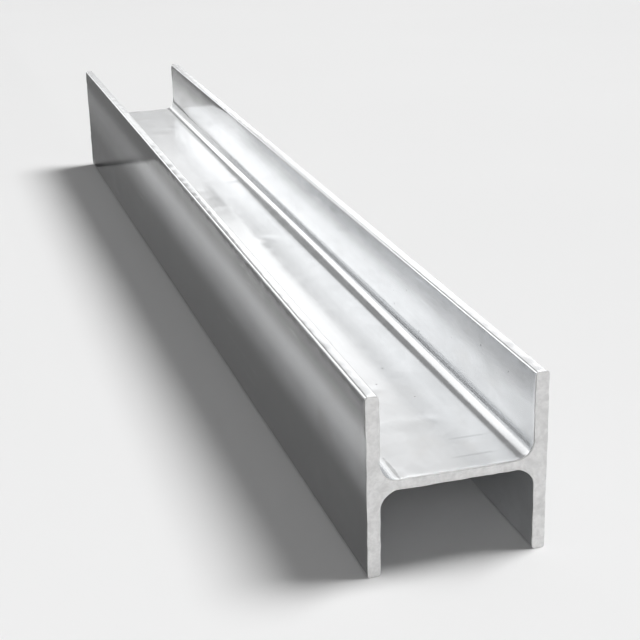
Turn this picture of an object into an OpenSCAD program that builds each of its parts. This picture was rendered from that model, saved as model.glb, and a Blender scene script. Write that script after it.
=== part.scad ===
// Hot-rolled steel H-beam, one sawn length of parallel-flange column section.
// The web lies level and the two flanges stand up, so the beam rests on the lower flange toes.
// X runs across the section from flange to flange, Y along the beam, Z up.
// The origin is the centre of the footprint, on the level that the lower toes rest on.

/* [Beam] */
// Length of the beam, end face to end face
beam_length = 900; // [150:10:6000]
// Depth of the section, over the outer faces of the two flanges
section_depth = 97; // [90:1:320]
// Width of each flange, toe to toe
flange_width = 99; // [90:1:320]

/* [Rolled walls] */
// Thickness of each flange
flange_thickness = 7; // [5:0.5:20]
// Thickness of the web
web_thickness = 5; // [4:0.5:16]
// Radius of the fillet where the web runs into a flange
root_radius = 10; // [4:0.5:24]
// Radius of the rolled edges along the flange toes
toe_radius = 1.5; // [0.5:0.25:2]

/* [Hidden] */

$fn = 64;

// The clear channel on each side of the web: its width between flanges and its height to the toes
channel_width = section_depth - 2 * flange_thickness;
channel_height = (flange_width - web_thickness) / 2;
// A fillet stops at the middle of its channel and at the toe, and a rolled edge at half its wall
root_r = min(root_radius, channel_width / 2, channel_height - toe_radius);
toe_r = min(toe_radius, 0.49 * flange_thickness);
// How far the joined shapes run into each other, so that they unite as one solid
lap = flange_thickness / 2;

// One flange, seen from the end: a tall plate whose four long edges are rolled round
module flange_outline() {
    square([flange_thickness, flange_width - 2 * toe_r], center = true);
    square([flange_thickness - 2 * toe_r, flange_width], center = true);
    for (side = [-1, 1], end = [-1, 1])
        translate([side * (flange_thickness / 2 - toe_r), end * (flange_width / 2 - toe_r)])
            circle(r = toe_r);
}

// The metal that fills one inner corner, between the web's face and the flange's inner face.
// The corner is at the origin, and the open channel lies towards +X and +Y.
module root_fillet_outline() {
    difference() {
        translate([-lap, -web_thickness / 4])
            square([root_r + lap, root_r + web_thickness / 4]);
        translate([root_r, root_r])
            circle(r = root_r);
    }
}

// The whole rolled section, seen from the end, centred on its web
module section_outline() {
    square([channel_width + 2 * lap, web_thickness], center = true);
    for (side = [0, 1])
        mirror([side, 0]) {
            translate([(section_depth - flange_thickness) / 2, 0])
                flange_outline();
            for (face = [0, 1])
                mirror([0, face])
                    translate([-channel_width / 2, web_thickness / 2])
                        root_fillet_outline();
        }
}

// The beam: the section run straight from one sawn end to the other
module h_beam() {
    color([0.72, 0.73, 0.73])
        translate([0, beam_length / 2, flange_width / 2])
            rotate([90, 0, 0])
                linear_extrude(height = beam_length)
                    section_outline();
}

h_beam();
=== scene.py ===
import math
import random

import bmesh
import bpy
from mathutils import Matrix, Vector, noise


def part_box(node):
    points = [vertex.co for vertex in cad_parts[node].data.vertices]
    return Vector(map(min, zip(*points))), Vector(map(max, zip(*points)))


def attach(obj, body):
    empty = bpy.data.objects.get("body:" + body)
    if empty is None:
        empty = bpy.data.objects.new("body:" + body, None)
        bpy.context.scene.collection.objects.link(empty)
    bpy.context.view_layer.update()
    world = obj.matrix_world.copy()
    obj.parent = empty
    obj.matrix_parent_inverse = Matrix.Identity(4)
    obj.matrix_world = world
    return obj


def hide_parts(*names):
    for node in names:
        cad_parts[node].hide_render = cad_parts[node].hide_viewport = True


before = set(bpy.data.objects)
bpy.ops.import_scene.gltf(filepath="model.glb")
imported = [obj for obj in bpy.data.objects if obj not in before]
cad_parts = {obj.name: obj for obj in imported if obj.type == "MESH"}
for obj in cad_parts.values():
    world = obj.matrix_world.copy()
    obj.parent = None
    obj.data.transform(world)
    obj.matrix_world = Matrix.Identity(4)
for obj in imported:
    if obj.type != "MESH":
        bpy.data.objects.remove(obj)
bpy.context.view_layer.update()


# Camera.
# It stands off the near left corner of the beam, a little above it, and looks down its length,
# so the near end, the web's upper face and the left flange are all in view.

camera_place = Vector((-0.251, -1.059, 0.379))
camera_target = Vector((0.0, -0.214, 0.050))
camera_roll = math.radians(-1.5)
camera_data = bpy.data.cameras.new("camera")
camera_data.sensor_width = 36
camera_data.lens = 82
camera = bpy.data.objects.new("camera", camera_data)
camera.location = camera_place
camera.rotation_euler = (camera_target - camera_place).to_track_quat("-Z", "Y").to_euler()
camera.rotation_euler.rotate_axis("Z", camera_roll)
bpy.context.collection.objects.link(camera)
bpy.context.scene.camera = camera


# The beam.
# One length of wide-flange section in mild steel: a level web between two upright flanges, rolled
# from one bar with round roots and toes, sawn square at both ends and dipped in molten zinc.

low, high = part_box("h_beam")
near_end, far_end = low.y, high.y
length = far_end - near_end
middle_height = (low.z + high.z) / 2
toe_height = (high.z - low.z) / 2
outer_face = high.x
flange_thickness = 0.007
inner_face = outer_face - flange_thickness
half_web = 0.0025
web_top = middle_height + half_web
root_radius = 0.010
toe_radius = 0.0015

# The section is drawn at the near end from its twelve corners, which are then rounded
root_segments = 9
toe_segments = 5
side_step = 0.0032
upper_right = [(outer_face, toe_height), (inner_face, toe_height), (inner_face, half_web)]
upper_half = upper_right + [(-x, z) for x, z in reversed(upper_right)]
corners = upper_half + [(-x, -z) for x, z in upper_half]
beam = bmesh.new()
beam.faces.new([beam.verts.new((x, near_end, middle_height + z)) for x, z in corners])


def round_corners(lowest, highest, radius, segments):
    """Rounds the section's corners whose height above or below the web's middle is in this range"""
    chosen = [v for v in beam.verts if lowest <= abs(v.co.z - middle_height) <= highest]
    bmesh.ops.bevel(beam, geom=chosen, offset=radius, segments=segments, profile=0.5,
                    affect="VERTICES", material=-1)


round_corners(0, 1.1 * half_web, root_radius, root_segments)
round_corners(0.99 * toe_height, 1.01 * toe_height, toe_radius, toe_segments)
for edge in list(beam.edges):
    cuts = round(edge.calc_length() / side_step) - 1
    if cuts > 0:
        bmesh.ops.subdivide_edges(beam, edges=[edge], cuts=cuts)

# It grows to its whole length, with close rings near both ends and wider ones between them
end_stretch = 0.045
middle_cuts = 330
end_cuts = 40
grown = bmesh.ops.extrude_face_region(beam, geom=list(beam.faces))["geom"]
far_verts = [g for g in grown if isinstance(g, bmesh.types.BMVert)]
bmesh.ops.translate(beam, vec=(0, length, 0), verts=far_verts)
for cut_place in (near_end + end_stretch, far_end - end_stretch):
    everything = list(beam.verts) + list(beam.edges) + list(beam.faces)
    bmesh.ops.bisect_plane(beam, geom=everything, plane_co=(0, cut_place, 0), plane_no=(0, 1, 0))
long_edges = [e for e in beam.edges if e.calc_length() > 2 * end_stretch]
bmesh.ops.subdivide_edges(beam, edges=long_edges, cuts=middle_cuts, use_grid_fill=True)
end_edges = [e for e in beam.edges if abs(e.calc_length() - end_stretch) < 0.0001]
bmesh.ops.subdivide_edges(beam, edges=end_edges, cuts=end_cuts, use_grid_fill=True)
bmesh.ops.recalc_face_normals(beam, faces=beam.faces)

# The zinc rounds the sawn edges, and two rings of faces carry its bead round each sawn face
edge_round = 0.0005
sawn_faces = [f for f in beam.faces if len(f.verts) > 4]
bmesh.ops.bevel(beam, geom=[e for f in sawn_faces for e in f.edges], offset=edge_round, segments=3,
                profile=0.5, affect="EDGES", material=-1)
sawn_faces = [f for f in beam.faces if len(f.verts) > 4]
for ring_width in (0.0003, 0.0004):
    bmesh.ops.inset_region(beam, faces=sawn_faces, thickness=ring_width, use_even_offset=True)


def hump(distance, reach):
    """A smooth rise, 1 at its middle and 0 from reach outwards"""
    return (1 - min(1, distance / reach) ** 2) ** 2


def ripple(spot, across, along, seed):
    """Smooth noise from -1 to 1, with waves of these sizes across the beam and along it"""
    return noise.noise(Vector((spot.x / across, spot.y / along, spot.z / across + seed)))


# The coat is a little thicker in soft patches on the web, most of them near the ends
patching = random.Random(7)
side_reach = inner_face - root_radius
patches = []
for count, nearest, farthest, smallest, largest in ((12, 0.33, 0.43, 0.006, 0.012),
                                                    (6, 0.02, 0.30, 0.008, 0.014)):
    for _ in range(count):
        along = patching.choice((-1, 1)) * patching.uniform(nearest, farthest)
        spot = Vector((patching.uniform(-side_reach, side_reach), along, web_top))
        patches.append((spot, patching.uniform(smallest, largest)))

# One short run of zinc has set where the coat drained off the near end, beside the left root
run_start = Vector((-0.0255, near_end, web_top))
run_line = Vector((-0.0040, 0.013, 0.0))

# How far each kind of wave, bead, patch and run stands off the plain steel, and how far it spreads
wave_height = 0.00012
fine_wave_height = 0.00004
flange_dish = 0.0003
toe_wave_height = 0.00016
bead_height = 0.00016
bead_wave_height = 0.00045
bead_reach = 0.0035
patch_height = 0.00012
run_height = 0.0005
run_reach = 0.0024
beam.normal_update()
moves = []
for vert in beam.verts:
    spot, outward = vert.co, vert.normal
    from_middle = abs(spot.z - middle_height)
    to_end = min(spot.y - near_end, far_end - spot.y)
    rise = wave_height * ripple(spot, 0.045, 0.16, 3.1) + fine_wave_height * ripple(spot, 0.012, 0.05, 8.7)
    if abs(outward.x) > 0.7 and abs(spot.x) > outer_face - toe_radius:
        rise -= flange_dish * (1 - (from_middle / toe_height) ** 2)
    if from_middle > toe_height - 2 * toe_radius:
        rise += toe_wave_height * (ripple(spot, 0.02, 0.009, 5.3) - 0.75)
    bead_wave = bead_wave_height * ripple(spot, 0.005, 0.010, 1.7)
    rise += (bead_height + bead_wave) * hump(to_end, bead_reach)
    if any(len(f.verts) > 4 for f in vert.link_faces):
        rise = -bead_height
    for patch, reach in patches:
        rise += patch_height * hump((spot - patch).length, reach)
    along_run = min(1, max(0, (spot - run_start).dot(run_line) / run_line.length_squared))
    to_run = (spot - run_start - run_line * along_run).length
    rise += run_height * (1 - 0.8 * along_run) * hump(to_run, run_reach)
    moves.append(outward * rise)
for vert, move in zip(beam.verts, moves):
    moved = vert.co + move
    vert.co = [min(max(value, least), most) for value, least, most in zip(moved, low, high)]

for face in beam.faces:
    face.smooth = True
beam_mesh = bpy.data.meshes.new("galvanised_h_beam")
beam.to_mesh(beam_mesh)
beam.free()
h_beam = bpy.data.objects.new("galvanised_h_beam", beam_mesh)
bpy.context.collection.objects.link(h_beam)


class Wire:
    """A shader socket. Arithmetic on it adds Math nodes, and node() adds any other kind of node"""

    def __init__(self, tree, socket=None):
        self.tree = tree
        self.socket = socket

    def node(self, kind, settings=None, inputs=None, output=0):
        """Adds a node: its settings first, then its inputs, which are values or wires"""
        made = self.tree.nodes.new("ShaderNode" + kind)
        for name, value in (settings or {}).items():
            setattr(made, name, value)
        for name, value in (inputs or {}).items():
            if isinstance(value, Wire):
                self.tree.links.new(value.socket, made.inputs[name])
            else:
                made.inputs[name].default_value = value
        return Wire(self.tree, made.outputs[output])

    def math(self, operation, first, second):
        return self.node("Math", {"operation": operation}, {0: first, 1: second})

    def __add__(self, other):
        return self.math("ADD", self, other)

    def __radd__(self, other):
        return self.math("ADD", other, self)

    def __sub__(self, other):
        return self.math("SUBTRACT", self, other)

    def __rsub__(self, other):
        return self.math("SUBTRACT", other, self)

    def __mul__(self, other):
        return self.math("MULTIPLY", self, other)

    def __rmul__(self, other):
        return self.math("MULTIPLY", other, self)

    def __abs__(self):
        return self.math("ABSOLUTE", self, 0)

    def between(self, start, stop):
        """0 at start and 1 at stop, with a smooth change between them"""
        settings = {"interpolation_type": "SMOOTHSTEP"}
        return self.node("MapRange", settings, {"Value": self, "From Min": start, "From Max": stop})

    def toward(self, goal, amount):
        """This value where amount is 0, and the goal where it is 1"""
        return self + (goal - self) * amount

    def mix(self, first, second):
        """The first colour where this value is 0, and the second where it is 1"""
        return self.node("Mix", {"data_type": "RGBA"}, {0: self, 6: first, 7: second}, output=2)

    def part(self, axis):
        return self.node("SeparateXYZ", None, {0: self}, output=axis)

    def stretch(self, x, y, z):
        return self.node("VectorMath", {"operation": "MULTIPLY"}, {0: self, 1: (x, y, z)})

    def cloud(self, scale, detail=2, roughness=0.5, distortion=0):
        """Soft noise round 0.5, with patches about 1 / scale metres wide"""
        inputs = {"Vector": self, "Scale": scale, "Detail": detail, "Roughness": roughness,
                  "Distortion": distortion}
        return self.node("TexNoise", None, inputs)

    def cells(self, scale):
        """A random value from 0 to 1 in each cell, with cells about 1 / scale metres wide"""
        tint = self.node("TexVoronoi", None, {"Vector": self, "Scale": scale}, output="Color")
        return self.node("SeparateColor", None, {"Color": tint}, output="Red")

    def pips(self, scale, radius, rarity):
        """Round spots in a few of the cells, with the radius as a share of a cell"""
        centre_gap = self.node("TexVoronoi", None, {"Vector": self, "Scale": scale}, output="Distance")
        return centre_gap.between(radius, 0.6 * radius) * self.cells(scale).between(rarity, rarity + 0.01)


def grey(value, warmth=0.0):
    """A grey, bluish where warmth is below 0 and brownish where it is above"""
    return (value * (1 + warmth), value, value * (1 - warmth), 1)


zinc = bpy.data.materials.new("galvanised_zinc")
zinc.use_nodes = True
shader = zinc.node_tree.nodes["Principled BSDF"]
place = Wire(zinc.node_tree).node("TexCoord", output="Object")
x_place, y_place, z_place = place.part("X"), place.part("Y"), place.part("Z")
to_end = length / 2 - abs(y_place)
sawn = to_end.between(0.0011, 0.0005)
near_ends = to_end.between(0.22, 0.01)
outside = abs(x_place).between(outer_face - 0.004, outer_face - 0.001)

# Zinc sets in faint crystals and clouds, and the lengthwise marks of the rolls show through it
clouds = place.stretch(1, 0.35, 1).cloud(24, 4, 0.55, 0.5).between(0.2, 0.8)
crystals = place.cells(85)
roll_marks = place.stretch(1, 0.03, 1).cloud(330, 3, 0.6)
roll_waves = place.stretch(1, 0.03, 1).cloud(240, 1)
dull = place.stretch(1, 0.5, 1).cloud(34, 2, 0.5, 0.2).between(0.42, 0.72) * near_ends.toward(1, 0.25)
specks = place.pips(70, 0.045, 0.80)
scuff_lines = abs(place.stretch(1, 0.045, 1).cloud(150, 2) - 0.5).between(0.010, 0.002)
scuffs = scuff_lines * place.stretch(1, 0.3, 1).cloud(26, 1).between(0.52, 0.62)

# Painted reflections: long light and dark bands are painted along the flanges, in place of the yard that
# bright zinc mirrors
painted_streak_breakup = place.stretch(1, 0.08, 1).cloud(60, 2)
painted_reflection_streak = outside * abs(z_place - 0.070).between(0.014, 0.002) * (0.6 + 0.7 * painted_streak_breakup)
painted_dark_top = z_place.between(0.075, 0.090) * (0.40 + 0.50 * outside)
# The tops of the toes get a painted highlight, lighter than the zinc around them
painted_toe_highlight = z_place.between(0.0968, 0.0985)
painted_dark_low = outside * z_place.between(0.058, 0.036)

tone = 0.65 + 0.10 * clouds + 0.07 * (crystals - 0.5) + 0.10 * (roll_marks - 0.5) - 0.05 * dull
# The painted reflections go into the tone here: a bright streak, a dark upper band and a dark lower band
tone = tone.toward(0.94, painted_reflection_streak).toward(0.0, painted_dark_top).toward(0.08, 0.9 * painted_dark_low)
# A painted highlight on the toe tops, then light scuffs and dark specks
tone = tone.toward(0.78, painted_toe_highlight).toward(0.85, 0.35 * scuffs).toward(0.05, 0.8 * specks)

# A few marks lie on the web near its near end: a dark pip, two faint smears and a dark strip along the
# left root
on_web = z_place.between(web_top - 0.0015, web_top - 0.0005)
ragged = place.cloud(300, 3, 0.6)


def mark(x, from_end, half_width, half_length):
    """A ragged spot on the web's upper face, 1 in its middle"""
    across = (x_place - x) * (1 / half_width)
    along = (y_place - near_end - from_end) * (1 / half_length)
    return (across * across + along * along + 2 * (ragged - 0.5)).between(1.2, 0.3) * on_web


for x, from_end, half_width, half_length, strength in ((0.009, 0.140, 0.0009, 0.0014, 0.75),
                                                       (0.019, 0.036, 0.012, 0.0012, 0.25),
                                                       (0.016, 0.015, 0.014, 0.0012, 0.25),
                                                       (-0.0305, 0.014, 0.0011, 0.013, 0.50)):
    tone = tone.toward(0.0, strength * mark(x, from_end, half_width, half_length))
grime = place.stretch(1, 0.6, 1).cloud(45, 3, 0.5, 0.3).between(0.50, 0.78) * near_ends
rolled_colour = tone.mix(grey(0.29, -0.008), grey(0.95, -0.014))
rolled_colour = (0.22 * grime).mix(rolled_colour, grey(0.55, 0.07))

# The sawn faces have a rougher, frosted coat
mottle = place.cloud(330, 4, 0.65, 0.4)
blotch = place.cloud(140, 2, 0.5, 0.3)
sawn_tone = 0.45 + 0.35 * mottle.between(0.30, 0.70)
sawn_tone = sawn_tone.toward(0.08, 0.35 * blotch.between(0.52, 0.70))
sawn_colour = sawn_tone.mix(grey(0.55, 0.004), grey(0.93, 0.004))

rolled_roughness = 0.08 + 0.04 * clouds + 0.03 * crystals + 0.04 * roll_marks
rolled_roughness = rolled_roughness + 0.03 * dull + 0.05 * near_ends
relief = 0.000016 * roll_waves + sawn * (0.00016 * mottle + 0.00016 * blotch)
finish = {
    "Base Color": sawn.mix(rolled_colour, sawn_colour),
    "Roughness": rolled_roughness.toward(0.50, specks).toward(0.36 + 0.2 * mottle, sawn),
    "Metallic": 1 - 0.35 * sawn - 0.08 * dull,
    "Normal": place.node("Bump", None, {"Strength": 1.0, "Distance": 1.0, "Height": relief}),
}
for socket_name, wire in finish.items():
    zinc.node_tree.links.new(wire.socket, shader.inputs[socket_name])
beam_mesh.materials.append(zinc)

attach(h_beam, "root")
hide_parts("h_beam")


# The floor.
# A plain pale studio floor that the beam lies on, reaching many metres past it on every side.

floor_reach = 14
floor_shape = bmesh.new()
bmesh.ops.create_grid(floor_shape, x_segments=8, y_segments=8, size=floor_reach)
bmesh.ops.translate(floor_shape, vec=(0, 0, low.z), verts=floor_shape.verts)
floor_mesh = bpy.data.meshes.new("studio_floor")
floor_shape.to_mesh(floor_mesh)
floor_shape.free()
floor = bpy.data.objects.new("studio_floor", floor_mesh)
bpy.context.collection.objects.link(floor)

floor_paint = bpy.data.materials.new("floor_paint")
floor_paint.use_nodes = True
floor_shader = floor_paint.node_tree.nodes["Principled BSDF"]
floor_clouds = Wire(floor_paint.node_tree).node("TexCoord", output="Object").cloud(3)
floor_tint = floor_clouds.mix(grey(0.82), grey(0.84))
floor_paint.node_tree.links.new(floor_tint.socket, floor_shader.inputs["Base Color"])
floor_shader.inputs["Roughness"].default_value = 0.8
floor_shader.inputs["Specular IOR Level"].default_value = 0.2
floor_mesh.materials.append(floor_paint)


# The shade cards.
# Two dark cards lie on the floor to the left of the beam and behind it, past the edge of its shadow. They
# show only in its shine, so the left flange mirrors something dark there and not the sunlit floor.

card_paint = bpy.data.materials.new("card_paint")
card_paint.use_nodes = True
card_shader = card_paint.node_tree.nodes["Principled BSDF"]
card_shader.inputs["Base Color"].default_value = grey(0.21)
card_shader.inputs["Roughness"].default_value = 0.9
card_shader.inputs["Specular IOR Level"].default_value = 0.0
card_height = low.z + 0.0005
for name, left, right, front, back in (("rear_shade_card", -0.50, -0.050, 0.435, 1.60),
                                       ("side_shade_card", -0.155, -0.120, -0.45, 0.435)):
    card_corners = [(left, front), (right, front), (right, back), (left, back)]
    card_shape = bmesh.new()
    card_shape.faces.new([card_shape.verts.new((x, y, card_height)) for x, y in card_corners])
    card_mesh = bpy.data.meshes.new(name)
    card_shape.to_mesh(card_mesh)
    card_shape.free()
    card_mesh.materials.append(card_paint)
    card = bpy.data.objects.new(name, card_mesh)
    card.visible_camera = False
    card.visible_diffuse = False
    card.visible_shadow = False
    bpy.context.collection.objects.link(card)


# The lights.
# Soft panels behind, beside and over the beam show only in its shine. A wide soft key comes down from the
# right and lights everything but that shine, so the left side is in shade. A fill lights the near end.


def soft_box(name, lamp_place, target, size, glow, shine_only=True):
    """A rectangular lamp, with its width and height in size, that isn't itself in view"""
    lamp_data = bpy.data.lights.new(name, "AREA")
    lamp_data.shape = "RECTANGLE"
    lamp_data.size, lamp_data.size_y = size
    lamp_data.energy = glow * math.pi * size[0] * size[1]
    lamp = bpy.data.objects.new(name, lamp_data)
    lamp.location = lamp_place
    lamp.rotation_euler = (Vector(target) - Vector(lamp_place)).to_track_quat("-Z", "Y").to_euler()
    lamp.visible_camera = False
    lamp.visible_diffuse = not shine_only
    bpy.context.collection.objects.link(lamp)


panel_distance = 2.0
for name, left, right, bottom, top, glow in (("top_panel", 0.55, 1.9, 1.16, 1.90, 0.82),
                                             ("dim_panel", -0.45, 0.40, 0.68, 1.90, 0.22),
                                             ("right_high_panel", 0.40, 1.9, 0.65, 1.16, 1.15),
                                             ("right_low_panel", 0.40, 1.9, 0.38, 0.56, 1.20),
                                             ("middle_panel", 0.05, 0.40, 0.45, 0.68, 0.68),
                                             ("left_low_panel", -1.9, -0.15, 0.38, 0.68, 1.25),
                                             ("left_high_panel", -1.9, -0.45, 0.68, 1.80, 1.25)):
    panel_x, panel_z = (left + right) / 2, (bottom + top) / 2
    panel_size = (right - left, top - bottom)
    soft_box(name, (panel_x, panel_distance, panel_z), (panel_x, 0, panel_z), panel_size, glow)
for name, side in (("left_side_panel", -1), ("right_side_panel", 1)):
    soft_box(name, (2.2 * side, 0, 1.3), (0, 0, 1.3), (3.8, 1.4), 0.32)
soft_box("overhead_panel", (0, 0, 2.4), (0, 0, 0), (2.6, 3.6), 0.8)
soft_box("front_fill", (-0.5, -2.4, 1.0), (0, -0.3, 0), (1.2, 1.0), 1.33, shine_only=False)

key_data = bpy.data.lights.new("side_key", "SUN")
key_data.energy = 3.0
key_data.angle = math.radians(26)
key = bpy.data.objects.new("side_key", key_data)
key.rotation_euler = Vector((-3.5, -0.2, -6.05)).to_track_quat("-Z", "Y").to_euler()
key.visible_glossy = False
bpy.context.collection.objects.link(key)

walls = bpy.data.worlds.new("studio_walls")
walls.use_nodes = True
bpy.context.scene.world = walls
wall_rise = Wire(walls.node_tree).node("TexCoord", output="Generated").part("Z")
wall_tint = wall_rise.between(0.10, 0.42).mix(grey(0.78), grey(0.13))
walls.node_tree.links.new(wall_tint.socket, walls.node_tree.nodes["Background"].inputs["Color"])
bpy.context.scene.view_settings.view_transform = "Standard"
